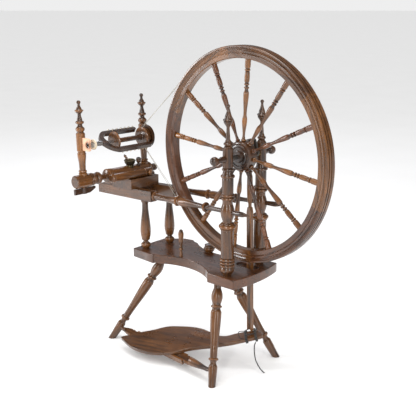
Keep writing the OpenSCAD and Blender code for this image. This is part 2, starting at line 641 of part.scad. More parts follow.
// ---- flyer: arms, spindle, hooks, whorl ----
module on_spindle() { placed() translate([flyer_x, 0, flyer_z]) rotate([0, flyer_tilt, 0]) children(); }
arm_w = 14;
arm_t = 11;
arm_end = -13;
arm_bend = -140;
flyer_nose = -176;
module flyer_arms() {
    outer = flyer_arm_r + arm_w / 2;
    inner = flyer_arm_r - arm_w / 2;
    right = concat([[9, flyer_nose]], arc([12, flyer_nose + 2], [outer, arm_bend], -7, 8),
        [[outer, arm_end - 6], [outer - 4, arm_end], [inner + 4, arm_end], [inner, arm_end - 6]],
        arc([inner, arm_bend + 2], [0, flyer_nose + 20], 9, 8));
    outline = concat(right, [for (i = [len(right) - 2:-1:0]) [-right[i][0], right[i][1]]]);
    on_spindle() color(dark_walnut) difference() {
        translate([0, 0, -arm_t / 2]) linear_extrude(arm_t) polygon(tidy(outline));
        translate([0, flyer_nose - 5, 0]) along_y() cylinder(h = 60, r = spindle_r);
    }
}
tube_start = -227;
spindle_end = 31;
module spindle() {
    on_spindle() color(steel) difference() {
        union() {
            translate([0, tube_start, 0]) along_y() cylinder(h = flyer_nose - tube_start, r = tube_r);
            translate([0, collar_y, 0]) along_y() cylinder(h = 4, r = 15.5);
            translate([0, flyer_nose - 1, 0]) along_y() cylinder(h = spindle_end - flyer_nose + 1, r = spindle_r);
        }
        translate([0, tube_start - 1, 0]) along_y() cylinder(h = 42, r = orifice_r);
        translate([0, -190, 0]) cylinder(h = 10, r = 3);
    }
}
orifice_r = 5;
collar_y = -210;
hook_count = 7;
hook_pitch = 16;
module flyer_hooks() {
    on_spindle() color("#c8a860") for (s = [-1, 1], i = [0:hook_count - 1])
        translate([s * flyer_arm_r, arm_bend + 14 + hook_pitch * i, -s * (arm_t / 2 + 2.4)]) rotate([0, 0, 90])
            rotate([90, 0, 0]) rotate([0, 0, s > 0 ? 180 : 0]) rotate([0, 0, -40])
            rotate_extrude(angle = 260, $fn = 24) translate([2.6, 0]) circle(r = 0.8, $fn = 16);
}
module grooved_disc(y, r, half) {
    translate([0, y, 0]) along_y() rotate_extrude() polygon([[0, -half], [r, -half], [r, -2], [r - groove_depth, -1.8],
        [r - groove_depth, 1.8], [r, 2], [r, half], [0, half]]);
}
module flyer_whorl() {
    on_spindle() color(walnut) difference() {
        grooved_disc(band_y[1], whorl_r, 3);
        translate([0, -30, 0]) along_y() cylinder(h = 60, r = spindle_r);
    }
}
bobbin_from = -132;
module bobbin() {
    on_spindle() color(walnut) difference() {
        union() {
            translate([0, bobbin_from, 0]) along_y() turned(concat([[12, 0], [27, 0.5]], bead(3.8, 29.5, 6),
                [[27, 7], [10, 8]], flow(9, 9, 20, 7.6, 4), flow(96, 7.6, 108, 9, 4), [[10, 109], [28, 110]],
                bead(113.5, 31, 6), [[28, 117.4], [20, 117.4], [20, 120]]));
            grooved_disc(band_y[0], bobbin_whorl_r, 4);
        }
        translate([0, bobbin_from - 1, 0]) along_y() cylinder(h = 160, r = spindle_r + fit);
    }
}

// ---- tension screw and brake knob ----
module tension_screw() {
    placed() color(walnut) screw_axis(0) turned(concat([[3, -163]], flow(-162.5, 6, -158, 12, 4),
        flow(-156, 12.6, -146, 12.6, 3), flow(-145, 11, -140, 9, 3), [[screw_r, -138], [screw_r, 48], [6, 51]]));
}
module brake_knob() {
    placed() color(walnut) translate([front_bar_x, brake_y, mother_z]) rotate([0, 90, 0]) difference() {
        turned(concat([[4, -7], [4, 14]], flow(14.2, 6, 18, 9, 3), [[9.4, 21]], flow(22, 8.6, 30, 6.4, 4)));
        translate([0, 0, 27]) cylinder(h = 4, r = 3.6);
    }
}

table();
leg_left();
leg_near();
leg_far();
post_near();
post_far();
rail_near();
rail_far();
bench_near();
bench_far();
bench_end();
short_post_near();
short_post_far();
table_peg();
table_boss();
axle_knobs();
axle_bearings();
drive_band();
felloe_1();
felloe_2();
felloe_3();
felloe_4();
felloe_5();
felloe_6();
spoke_01();
spoke_02();
spoke_03();
spoke_04();
spoke_05();
spoke_06();
spoke_07();
spoke_08();
spoke_09();
spoke_10();
spoke_11();
spoke_12();
hub();
axle();
treadle_board();
treadle_bar();
lashing();
cord_tail();
footman();
sled();
mother_bar();
front_bar();
maiden_far();
leather_far();
cup();
maiden_near();
maiden_key();
leather_near();
flyer_arms();
spindle();
flyer_hooks();
flyer_whorl();
bobbin();
tension_screw();
brake_knob();
threading_hook();
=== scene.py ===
import math

import bpy
import numpy as np
from mathutils import Matrix, Vector


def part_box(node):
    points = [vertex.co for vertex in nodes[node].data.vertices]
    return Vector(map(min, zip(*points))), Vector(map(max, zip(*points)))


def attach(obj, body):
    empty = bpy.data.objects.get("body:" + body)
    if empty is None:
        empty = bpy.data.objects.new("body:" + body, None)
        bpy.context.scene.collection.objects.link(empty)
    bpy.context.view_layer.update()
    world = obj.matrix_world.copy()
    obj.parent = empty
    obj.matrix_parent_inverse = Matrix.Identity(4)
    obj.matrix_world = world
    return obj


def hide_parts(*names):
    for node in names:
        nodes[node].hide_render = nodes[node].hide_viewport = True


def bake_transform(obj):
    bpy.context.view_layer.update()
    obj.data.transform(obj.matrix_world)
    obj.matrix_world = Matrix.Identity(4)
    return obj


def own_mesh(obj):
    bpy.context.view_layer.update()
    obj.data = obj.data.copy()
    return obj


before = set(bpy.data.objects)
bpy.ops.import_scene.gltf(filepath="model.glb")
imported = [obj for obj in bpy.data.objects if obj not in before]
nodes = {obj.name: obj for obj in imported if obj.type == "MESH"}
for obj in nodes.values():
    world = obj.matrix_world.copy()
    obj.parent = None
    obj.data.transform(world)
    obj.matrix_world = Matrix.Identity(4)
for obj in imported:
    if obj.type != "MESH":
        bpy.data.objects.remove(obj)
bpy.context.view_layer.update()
mm = 0.001


def middle(name):
    low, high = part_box(name)
    return np.array((low + high) / 2)


wheelCentre = middle("hub")  # every place below is in millimetres from here


def place(points):
    return wheelCentre + np.asarray(points, float) * mm


# Camera
cameraLook = {"from": (1441.7, -1594.2, 432.4), "azimuth": 44.71, "elevation": 15.22, "lens": 67.44}


def makeCamera(look):
    data = bpy.data.cameras.new("camera")
    data.lens = look["lens"]
    data.sensor_width = 36
    data.clip_start, data.clip_end = 0.05, 60
    cam = bpy.data.objects.new("camera", data)
    cam.location = Vector(place(look["from"]))
    cam.rotation_euler = (math.radians(90 - look["elevation"]), 0, math.radians(look["azimuth"]))
    bpy.context.scene.collection.objects.link(cam)
    bpy.context.scene.camera = cam


makeCamera(cameraLook)
print("camera set")


# Shared helpers for shapes
def rounded(points, closed, per):
    # Catmull-Rom curve through the points, per steps between each two: a cubic whose slope at a
    # point is half the way from its neighbour before to its neighbour after.
    p = np.asarray(points, float)
    n = len(p)
    if closed:
        pad = np.vstack([p[-1], p, p[0], p[1]])
    else:
        pad = np.vstack([2 * p[0] - p[1], p, 2 * p[-1] - p[-2]])
    count = n if closed else n - 1
    i = np.repeat(np.arange(count), per)
    t = np.tile(np.arange(per) / per, count)[:, None]
    a, b, c, d = pad[i], pad[i + 1], pad[i + 2], pad[i + 3]
    out = (2 * b + (c - a) * t + (2 * a - 5 * b + 4 * c - d) * t**2 + (3 * b - a - 3 * c + d) * t**3) / 2
    return out if closed else np.vstack([out, p[-1]])


def gridPiece(name, rows, wrapRows, wrapColumns, caps=False, uv=None):
    # A mesh from a grid of points, rows x columns x 3, in metres. Faces join neighbours in both
    # directions, and go round where a direction wraps. uv is a grid of (u, v), one row and column
    # more than the faces need where they wrap.
    rowCount, columnCount = rows.shape[:2]
    r = np.arange(rowCount if wrapRows else rowCount - 1)
    c = np.arange(columnCount if wrapColumns else columnCount - 1)
    rr, cc = (g.ravel() for g in np.meshgrid(r, c, indexing="ij"))
    here, below = rr * columnCount, (rr + 1) % rowCount * columnCount
    beside = (cc + 1) % columnCount
    faces = np.stack([here + cc, here + beside, below + beside, below + cc], 1).tolist()
    if caps:
        faces.append(list(range(columnCount))[::-1])
        faces.append([(rowCount - 1) * columnCount + k for k in range(columnCount)])
    mesh = bpy.data.meshes.new(name)
    mesh.from_pydata(rows.reshape(-1, 3).tolist(), [], faces)
    if uv is not None:
        corner = np.stack([uv[rr, cc], uv[rr, cc + 1], uv[rr + 1, cc + 1], uv[rr + 1, cc]], 1).reshape(-1, 2)
        if caps:
            first, last = (np.repeat(end, columnCount, 0) for end in (uv[:1, 0], uv[-1:, 0]))
            corner = np.vstack([corner, first, last])
        mesh.uv_layers.new(name="along").data.foreach_set("uv", corner.astype(np.float32).ravel())
    mesh.polygons.foreach_set("use_smooth", [True] * len(faces))
    mesh.update()
    obj = bpy.data.objects.new(name, mesh)
    bpy.context.scene.collection.objects.link(obj)
    return obj


def cordMesh(name, path, diameter, closed=False, sides=10):
    # A round tube: at each point of the path a circle stands square to the path. Its first side
    # is carried along without twist. The UV map has turns of the circle across and diameters along.
    p = np.asarray(path, float)
    ahead = np.roll(p, -1, 0) - np.roll(p, 1, 0)
    if not closed:
        ahead[0], ahead[-1] = p[1] - p[0], p[-1] - p[-2]
    ahead /= np.linalg.norm(ahead, axis=1)[:, None]
    side = np.zeros_like(p)
    side[0] = np.cross(ahead[0], (0.31, 0.87, 0.38))  # any direction that no cord here runs along
    side[0] /= np.linalg.norm(side[0])
    for i in range(1, len(p)):
        s = side[i - 1] - ahead[i] * (side[i - 1] @ ahead[i])
        side[i] = s / np.linalg.norm(s)
    other = np.cross(ahead, side)
    angle = np.arange(sides) / sides * 2 * math.pi
    ring = side[:, None] * np.cos(angle)[None, :, None] + other[:, None] * np.sin(angle)[None, :, None]
    rows = p[:, None] + ring * diameter / 2
    steps = np.linalg.norm(np.diff(p, axis=0, append=p[:1]), axis=1)
    along = np.concatenate([[0], np.cumsum(steps)])[: len(p) + 1] / diameter
    u, v = np.meshgrid(np.arange(sides + 1) / sides, along)
    uv = np.stack([u, v], 2)
    return gridPiece(name, rows, closed, True, caps=not closed, uv=uv if closed else uv[: len(p)])


def platePiece(name, loops, thickness, edge, matrix):
    # A flat plate cut to closed outlines in millimetres, the first outside and the others holes,
    # with its edges rounded. The matrix takes the plate's own X, Y and thickness to the frame.
    data = bpy.data.curves.new(name, "CURVE")
    data.dimensions, data.fill_mode = "2D", "BOTH"
    data.extrude = (thickness / 2 - edge) * mm
    data.bevel_depth, data.bevel_resolution = edge * mm, 3
    data.offset = -edge * mm
    for loop in loops:
        spline = data.splines.new("POLY")
        spline.points.add(len(loop) - 1)
        flat = np.zeros((len(loop), 4))
        flat[:, :2] = np.asarray(loop) * mm
        flat[:, 3] = 1
        spline.points.foreach_set("co", flat.ravel())
        spline.use_cyclic_u = True
    curve = bpy.data.objects.new(name + "Outline", data)
    bpy.context.scene.collection.objects.link(curve)
    bpy.context.view_layer.update()
    graph = bpy.context.evaluated_depsgraph_get()
    mesh = bpy.data.meshes.new_from_object(curve.evaluated_get(graph))
    bpy.data.objects.remove(curve)
    mesh.name = name
    mesh.transform(matrix)
    obj = bpy.data.objects.new(name, mesh)
    bpy.context.scene.collection.objects.link(obj)
    mesh.polygons.foreach_set("use_smooth", [True] * len(mesh.polygons))
    weld = obj.modifiers.new("weld", "WELD")
    weld.merge_threshold = 0.01 * mm
    sharp = obj.modifiers.new("normals", "WEIGHTED_NORMAL")
    sharp.keep_sharp = False
    return obj


def turnedPiece(name, profile, start, along, sides=72):
    # A turned piece: the profile's (radius, height) points in millimetres go round the axis that
    # leaves start in the direction along.
    way = Vector(along).normalized()
    turn = np.array(Vector((0, 0, 1)).rotation_difference(way).to_matrix())
    p = np.asarray(profile, float)
    angle = np.arange(sides) / sides * 2 * math.pi
    x, y = p[:, :1] * np.cos(angle), p[:, :1] * np.sin(angle)
    z = np.repeat(p[:, 1:2], sides, 1)
    rows = (np.stack([x, y, z], 2) * mm) @ turn.T + np.asarray(start)
    return gridPiece(name, rows, False, True, caps=True)


# Node groups for wood grain and braided cord, and what builds them
def newGroup(name, inputs, outputs):
    tree = bpy.data.node_groups.new(name, "ShaderNodeTree")
    for label, kind, value in inputs:
        socket = tree.interface.new_socket(label, in_out="INPUT", socket_type=kind)
        if value is not None:
            socket.default_value = value
    for label, kind in outputs:
        tree.interface.new_socket(label, in_out="OUTPUT", socket_type=kind)
    return tree, tree.nodes.new("NodeGroupInput"), tree.nodes.new("NodeGroupOutput")


class Wiring:
    # Short forms for adding and joining nodes in one tree.

    def __init__(self, tree):
        self.tree = tree

    def put(self, socket, value):
        if isinstance(value, bpy.types.NodeSocket):
            self.tree.links.new(value, socket)
        elif value is not None:
            socket.default_value = value

    def math(self, operation, a, b=None, clamp=False):
        node = self.tree.nodes.new("ShaderNodeMath")
        node.operation, node.use_clamp = operation, clamp
        self.put(node.inputs[0], a)
        self.put(node.inputs[1], b)
        return node.outputs[0]

    def vector(self, operation, a, b=None):
        node = self.tree.nodes.new("ShaderNodeVectorMath")
        node.operation = operation
        self.put(node.inputs[0], a)
        self.put(node.inputs[1], b)
        return node.outputs[1 if operation in ("LENGTH", "DISTANCE") else 0]

    def noise(self, vector, scale, detail=4.0, rough=0.55, distortion=0.0):
        node = self.tree.nodes.new("ShaderNodeTexNoise")
        self.put(node.inputs["Vector"], vector)
        self.put(node.inputs["Scale"], scale)
        node.inputs["Detail"].default_value = detail
        node.inputs["Roughness"].default_value = rough
        node.inputs["Distortion"].default_value = distortion
        return node.outputs["Fac"]

    def span(self, value, low, high, outLow=0.0, outHigh=1.0, smooth=True):
        node = self.tree.nodes.new("ShaderNodeMapRange")
        node.interpolation_type = "SMOOTHSTEP" if smooth else "LINEAR"
        self.put(node.inputs["Value"], value)
        labels = ("From Min", "From Max", "To Min", "To Max")
        for label, number in zip(labels, (low, high, outLow, outHigh)):
            self.put(node.inputs[label], number)
        return node.outputs["Result"]

    def mix(self, share, a, b, blend="MIX"):
        node = self.tree.nodes.new("ShaderNodeMix")
        node.data_type, node.blend_type = "RGBA", blend
        node.clamp_factor = True
        self.put(node.inputs[0], share)
        self.put(node.inputs[6], a)
        self.put(node.inputs[7], b)
        return node.outputs[2]

    def bump(self, height, strength, distance):
        node = self.tree.nodes.new("ShaderNodeBump")
        node.inputs["Strength"].default_value = strength
        node.inputs["Distance"].default_value = distance
        self.put(node.inputs["Height"], height)
        return node.outputs["Normal"]


def buildGrain():
    # Wood whose fibres run along the vector's Z. Colour goes from dark to light with three layers:
    # broad tone, fine streaks and short dark pores. On turned pieces the widest rings get a painted
    # highlight and wear, and the narrow necks get painted shade.
    tree, source, target = newGroup("woodGrain", [
        ("Vector", "NodeSocketVector", None), ("Dark", "NodeSocketColor", (0.03, 0.012, 0.006, 1)),
        ("Light", "NodeSocketColor", (0.2, 0.075, 0.028, 1)), ("Girth", "NodeSocketFloat", 0.0),
        ("Rub", "NodeSocketFloat", 0.4)],
        [("Color", "NodeSocketColor"), ("Roughness", "NodeSocketFloat"), ("Height", "NodeSocketFloat")])
    w = Wiring(tree)
    inWood = source.outputs["Vector"]
    broad = w.noise(w.vector("MULTIPLY", inWood, (14, 14, 3.2)), 1.0, 3, 0.5, 0.4)
    waver = w.noise(w.vector("MULTIPLY", inWood, (9, 9, 5)), 1.0, 2)
    warped = w.vector("ADD", w.vector("MULTIPLY", inWood, (150, 150, 7)),
                      w.vector("MULTIPLY", waver, (5, 5, 0)))
    streak = w.noise(warped, 1.0, 6, 0.62, 0.2)
    pores = w.noise(w.vector("MULTIPLY", inWood, (900, 900, 34)), 1.0, 2, 0.5)
    poreMask = w.span(pores, 0.6, 0.72)
    radius = w.vector("LENGTH", w.vector("MULTIPLY", inWood, (1, 1, 0)))
    share = w.math("DIVIDE", radius, w.math("MAXIMUM", source.outputs["Girth"], 0.001))
    isTurned = w.math("GREATER_THAN", source.outputs["Girth"], 0.001)
    # Painted highlight on the widest rings and painted shade in the narrow necks, set by radius alone.
    ring = w.math("MULTIPLY", isTurned, w.span(share, 0.62, 1.02, -0.16, 0.3))
    tone = w.math("ADD", w.math("MULTIPLY", w.span(broad, 0.3, 0.7), 0.3),
                  w.math("MULTIPLY", w.span(streak, 0.28, 0.72), 0.44))
    tone = w.math("ADD", tone, ring, clamp=True)
    patch = w.span(w.noise(w.vector("MULTIPLY", inWood, (46, 46, 20)), 1.0, 4, 0.6), 0.56, 0.74)
    worn = w.math("MULTIPLY", w.math("MULTIPLY", patch, source.outputs["Rub"]),
                  w.math("ADD", 0.35, w.math("MULTIPLY", isTurned, w.span(share, 0.8, 1.0))))
    colour = w.mix(tone, source.outputs["Dark"], source.outputs["Light"])
    colour = w.mix(w.math("MULTIPLY", worn, 0.55), colour, (0.3, 0.13, 0.044, 1))
    colour = w.mix(w.math("MULTIPLY", poreMask, 0.6), colour, (0.012, 0.006, 0.004, 1))
    tree.links.new(colour, target.inputs["Color"])
    smear = w.noise(w.vector("MULTIPLY", inWood, (22, 22, 22)), 1.0, 5, 0.6)
    rough = w.math("ADD", w.span(smear, 0.3, 0.7, 0.24, 0.4), w.math("MULTIPLY", poreMask, 0.2))
    tree.links.new(rough, target.inputs["Roughness"])
    height = w.math("SUBTRACT", w.math("MULTIPLY", streak, 0.5), w.math("MULTIPLY", poreMask, 0.5))
    tree.links.new(height, target.inputs["Height"])
    return tree


def buildBraid():
    # Strands that cross round a cord. Two families of slanted ridges, sine waves of turns plus and
    # minus length, take turns at being on top.
    tree, source, target = newGroup("braid", [
        ("UV", "NodeSocketVector", None), ("Strands", "NodeSocketFloat", 4.0),
        ("Pitch", "NodeSocketFloat", 1.2), ("Cross", "NodeSocketFloat", 1.0)],
        [("Height", "NodeSocketFloat"), ("Fibre", "NodeSocketFloat")])
    w = Wiring(tree)
    split = tree.nodes.new("ShaderNodeSeparateXYZ")
    tree.links.new(source.outputs["UV"], split.inputs[0])
    turn = w.math("MULTIPLY", w.math("MULTIPLY", split.outputs[0], source.outputs["Strands"]), math.pi)
    length = w.math("MULTIPLY", w.math("MULTIPLY", split.outputs[1], source.outputs["Pitch"]), math.pi)
    one = w.math("ABSOLUTE", w.math("SINE", w.math("ADD", turn, length)))
    two = w.math("MULTIPLY", w.math("ABSOLUTE", w.math("SINE", w.math("SUBTRACT", turn, length))),
                 source.outputs["Cross"])
    height = w.math("MAXIMUM", one, two)
    tree.links.new(height, target.inputs["Height"])
    fibre = w.noise(w.vector("MULTIPLY", source.outputs["UV"], (40, 7, 1)), 1.0, 3, 0.6)
    tree.links.new(fibre, target.inputs["Fibre"])
    return tree


grain = buildGrain()
braid = buildBraid()


def newMaterial(name):
    material = bpy.data.materials.new(name)
    material.use_nodes = True
    tree = material.node_tree
    shader = next(n for n in tree.nodes if n.type == "BSDF_PRINCIPLED")
    coords = tree.nodes.new("ShaderNodeTexCoord")
    return material, Wiring(tree), shader, coords


def wear(obj, material):
    obj.data.materials.clear()
    obj.data.materials.append(material)


def ownAxis(obj):
    # The middle of a piece and its longest direction: the mean of its vertices and the eigenvector
    # of their spread with the largest eigenvalue.
    co = np.zeros(len(obj.data.vertices) * 3, np.float32)
    obj.data.vertices.foreach_get("co", co)
    co = co.reshape(-1, 3).astype(float)
    centre = co.mean(0)
    way = np.linalg.eigh(np.cov((co - centre).T))[1][:, -1]
    way = way * np.sign(way[np.argmax(np.abs(way))])
    return centre, way


def mapped(w, coords, centre, way):
    # Object coordinates turned so that Z runs along the piece's grain, with 0 at its middle.
    turn = Vector(way).rotation_difference(Vector((0, 0, 1))).to_matrix()
    node = w.tree.nodes.new("ShaderNodeMapping")
    node.inputs["Rotation"].default_value = turn.to_euler("XYZ")
    node.inputs["Location"].default_value = -(turn @ Vector(centre))
    w.put(node.inputs["Vector"], coords.outputs["Object"])
    return node.outputs["Vector"]


stains = {  # the two ends of each stain's tone
    "walnut": {"dark": (0.018, 0.0066, 0.0022), "light": (0.19, 0.071, 0.0165)},
    "warm": {"dark": (0.028, 0.0104, 0.0032), "light": (0.28, 0.109, 0.025)},
    "deep": {"dark": (0.009, 0.0036, 0.0018), "light": (0.072, 0.027, 0.0085)},
    "red": {"dark": (0.02, 0.0068, 0.0026), "light": (0.16, 0.053, 0.015)},
}


def woodFinish(name, obj, stain, girth=0.0, rub=0.4, shift=0.0, coat=0.45, way=None, centre=None):
    # Stained wood under satin lacquer, with the grain along the piece.
    material, w, shader, coords = newMaterial(name)
    foundCentre, foundWay = ownAxis(obj)
    centre = foundCentre if centre is None else centre
    vector = mapped(w, coords, centre, foundWay if way is None else way)
    if shift and not girth:
        vector = w.vector("ADD", vector, (shift, shift * 0.7, shift * 1.3))
    group = w.tree.nodes.new("ShaderNodeGroup")
    group.node_tree = grain
    w.put(group.inputs["Vector"], vector)
    group.inputs["Dark"].default_value = (*stains[stain]["dark"], 1)
    group.inputs["Light"].default_value = (*stains[stain]["light"], 1)
    group.inputs["Girth"].default_value = girth * mm
    group.inputs["Rub"].default_value = rub
    w.put(shader.inputs["Base Color"], group.outputs["Color"])
    w.put(shader.inputs["Roughness"], group.outputs["Roughness"])
    w.put(shader.inputs["Normal"], w.bump(group.outputs["Height"], 0.22, 0.0004))
    shader.inputs["Coat Weight"].default_value = coat
    shader.inputs["Coat Roughness"].default_value = 0.09
    shader.inputs["IOR"].default_value = 1.5
    wear(obj, material)


def cordFinish(name, colour, strands, pitch, cross, fuzz):
    # Twisted or braided fibre: painted shade between the strands, with pale loose fibres on top.
    material, w, shader, coords = newMaterial(name)
    group = w.tree.nodes.new("ShaderNodeGroup")
    group.node_tree = braid
    w.put(group.inputs["UV"], coords.outputs["UV"])
    group.inputs["Strands"].default_value = strands
    group.inputs["Pitch"].default_value = pitch
    group.inputs["Cross"].default_value = cross
    # Painted shade: the cord's colour at 0.4 where the braid is low between the strands.
    dark = (*(part * 0.4 for part in colour), 1)
    pale = (*(min(1, part * 2 + 0.02) for part in colour), 1)
    deep = w.mix(w.span(group.outputs["Height"], 0.2, 0.8), dark, (*colour, 1))
    loose = w.math("MULTIPLY", w.span(group.outputs["Fibre"], 0.55, 0.75), fuzz)
    w.put(shader.inputs["Base Color"], w.mix(loose, deep, pale))
    w.put(shader.inputs["Roughness"], w.span(group.outputs["Fibre"], 0.3, 0.7, 0.55, 0.85))
    w.put(shader.inputs["Normal"], w.bump(group.outputs["Height"], 0.8, 0.0005))
    shader.inputs["Sheen Weight"].default_value = 0.25
    return material


def metalFinish(name, bright, dull, rough, scale, centre, way=(0, 1, 0)):
    # Metal with fine turning marks round its axis and blotches of tarnish.
    material, w, shader, coords = newMaterial(name)
    vector = mapped(w, coords, centre, way)
    blotch = w.span(w.noise(vector, scale, 6, 0.65), 0.42, 0.64)
    marks = w.noise(w.vector("MULTIPLY", vector, (60, 60, 1600)), 1.0, 2, 0.5)
    w.put(shader.inputs["Base Color"], w.mix(blotch, (*bright, 1), (*dull, 1)))
    w.put(shader.inputs["Roughness"], w.math("ADD", w.span(blotch, 0, 1, rough, rough + 0.25),
                                            w.span(marks, 0.3, 0.7, -0.05, 0.08)))
    w.put(shader.inputs["Metallic"], w.span(blotch, 0, 1, 1.0, 0.75))
    relief = w.math("ADD", w.math("MULTIPLY", marks, 0.5), w.math("MULTIPLY", blotch, 0.5))
    w.put(shader.inputs["Normal"], w.bump(relief, 0.12, 0.0003))
    return material


blackCord = cordFinish("blackBraidedCord", (0.012, 0.011, 0.011), 4, 1.0, 1.0, 0.25)
bandCotton = cordFinish("bandCotton", (0.58, 0.53, 0.45), 3, 0.9, 0.0, 0.5)

# Free end of the lashing cord
tail = {"diameter": 3.4, "route": [
    (30, 36, -571), (28, 33, -578), (28, 32, -587), (28, 32, -597), (29, 32, -608), (31, 32, -617),
    (34, 32, -627), (39, 33, -636), (45, 33, -643), (53, 32, -649), (62, 31, -653), (70, 31, -655.5)]}


def makeTail(look):
    path = place(rounded(look["route"], False, 3))
    obj = cordMesh("cordTail", path, look["diameter"] * mm, sides=12)
    wear(obj, blackCord)
    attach(obj, "treadle")
    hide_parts("cord_tail")
    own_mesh(obj)


makeTail(tail)
print("cord made")

# Treadle: board with its tall arm, drawn flat along the pivot bar
treadle = {"left": (-442, -108, -622), "right": (2, -120, -622), "tilt": 16.5, "boardLow": 5,
           "thick": 12, "edge": 2.2, "armMiddle": (441, 176), "armAngle": 47}
treadleCorners = [
    (72, -44), (92, -20), (114, 8), (142, 37), (172, 73), (218, 99), (254, 114), (285, 121), (315, 122),
    (350, 122), (376, 132), (396, 157), (418, 180), (440, 200), (453, 203), (470, 195), (472, 184), (438, 143),
    (414, 115), (390, 92), (366, 70), (340, 49), (315, 26), (290, -4), (254, -32), (220, -49), (190, -57),
    (155, -61), (120, -58), (90, -51)]


def treadleMatrix(look):
    left, right = Vector(look["left"]), Vector(look["right"])
    yaw = math.atan2(right.y - left.y, right.x - left.x)
    return (Matrix.Translation(Vector(place(look["left"]))) @ Matrix.Rotation(yaw, 4, "Z")
            @ Matrix.Rotation(math.radians(look["tilt"]), 4, "X"))


onTreadle = treadleMatrix(treadle)


def makeTreadleBoard(look):
    lift = Matrix.Translation((0, 0, (look["boardLow"] + look["thick"] / 2) * mm))
    outline = rounded(treadleCorners, True, 8)
    obj = platePiece("treadleBoard", [outline], look["thick"], look["edge"], onTreadle @ lift)
    way = onTreadle.to_3x3() @ Vector((1, 0.25, 0))
    woodFinish("treadleBoardWood", obj, "walnut", rub=0.9, shift=0.31, way=way)
    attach(obj, "treadle")
    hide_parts("treadle_board")


makeTreadleBoard(treadle)

# Lashing: cord wound round the arm on both sides of the footman, and crossed over and under it
lashingLook = {"cord": 2.3, "halfWidth": 24.9, "halfThick": 7.5, "turns": 3, "pitch": 2.5,
               "starts": (-19.3, 10.2), "corner": 0.3, "crossIn": 4, "looseCord": 2.2,
               "crossings": [(-5.4, -4.4, 1), (21.4, 22.6, 1), (-3.5, 21.5, -1), (21.5, -3.5, -1)],
               "looseLoop": [(-15, 14, 9), (-24, 12, 14), (-34, 6, 19), (-38, -6, 18), (-34, -16, 12),
                             (-28, -21, 9)]}


def armPoints(points):
    # Millimetres about the middle of the arm, X along the arm and Z up through it, to the frame.
    along, across = treadle["armMiddle"]
    up = treadle["boardLow"] + treadle["thick"] / 2
    m = (onTreadle @ Matrix.Translation((along * mm, across * mm, up * mm))
         @ Matrix.Rotation(math.radians(treadle["armAngle"]), 4, "Z"))
    p = np.asarray(points, float) * mm
    return p @ np.array(m.to_3x3()).T + np.array(m.to_translation())


def boxTurn(angle, half, high, corner):
    # A turn round a flat bar: the angle's cosine and sine to a small power, the corner, which is
    # nearly a rectangle with soft corners.
    c, s = np.cos(angle), np.sin(angle)
    return np.sign(c) * np.abs(c) ** corner * half, np.sign(s) * np.abs(s) ** corner * high


def makeLashing(look):
    # Each wrap is a helix of box-shaped turns along the arm. Each crossing runs from one wrap to
    # the other and stands off the arm by half a sine wave.
    pieces = []
    for k, start in enumerate(look["starts"]):
        t = np.linspace(0, 1, 64 * look["turns"])
        angle = 2 * math.pi * look["turns"] * t + math.pi / 4
        y, z = boxTurn(angle, look["halfWidth"], look["halfThick"], look["corner"])
        path = np.stack([start + look["pitch"] * look["turns"] * t, y, z], 1)
        pieces.append(cordMesh("armWrap%d" % (k + 1), armPoints(path), look["cord"] * mm))
    near, far = (start + look["crossIn"] for start in look["starts"])
    t = np.linspace(0, 1, 24)
    for k, (ya, yb, side) in enumerate(look["crossings"]):
        hump = np.sin(math.pi * t) * (1.0 if side > 0 else 1.5 + 1.7 * k)
        off = look["halfThick"] + look["cord"] * 0.7 + hump
        path = np.stack([near + (far - near) * t, ya + (yb - ya) * t, side * off], 1)
        pieces.append(cordMesh("armCross%d" % (k + 1), armPoints(path), look["cord"] * mm))
    loose = rounded(look["looseLoop"], False, 8)
    pieces.append(cordMesh("armLooseLoop", armPoints(loose), look["looseCord"] * mm))
    for obj in pieces:
        wear(obj, blackCord)
        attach(obj, "treadle")
    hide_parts("lashing")


makeLashing(lashingLook)
print("treadle and lashing made")

# Drive band: one cotton cord in two turns
band = {"thick": 1.4, "wheel": 302.2, "whorl": (-411, 5.5), "turns": [(-9, 25), (1, 34)]}


def makeBand(look):
    # Each turn is two arcs, round the wheel's groove and a whorl's groove, and the straight
    # lines that touch both.
    for k, (y, small) in enumerate(look["turns"]):
        c = np.array(look["whorl"])
        span = float(np.linalg.norm(c))
        line = math.atan2(-c[1], -c[0])
        opening = math.acos((look["wheel"] - small) / span)
        big = line + math.pi - opening - np.linspace(0, 2 * math.pi - 2 * opening, 160)
        little = line - math.pi + opening - np.linspace(0, 2 * opening, 40)
        wheelArc = np.stack([np.cos(big), np.sin(big)], 1) * look["wheel"]
        whorlArc = c + np.stack([np.cos(little), np.sin(little)], 1) * small
        low = np.linspace(wheelArc[-1], whorlArc[0], 26)[1:-1]
        high = np.linspace(whorlArc[-1], wheelArc[0], 26)[1:-1]
        ring = np.vstack([wheelArc, low, whorlArc, high])
        path = place(np.stack([ring[:, 0], np.full(len(ring), float(y)), ring[:, 1]], 1))
        obj = cordMesh("driveBand%d" % (k + 1), path, look["thick"] * mm, closed=True, sides=8)
        wear(obj, bandCotton)
        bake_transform(obj)
        if k == 0:
            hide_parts("drive_band")


makeBand(band)
print("drive band made")

# Leather bearings
leather = {"thick": 8, "left": -461, "right": -403, "low": -13, "high": 25, "corner": 7, "edge": 1.1,
           "hole": (-411, 5.5)}


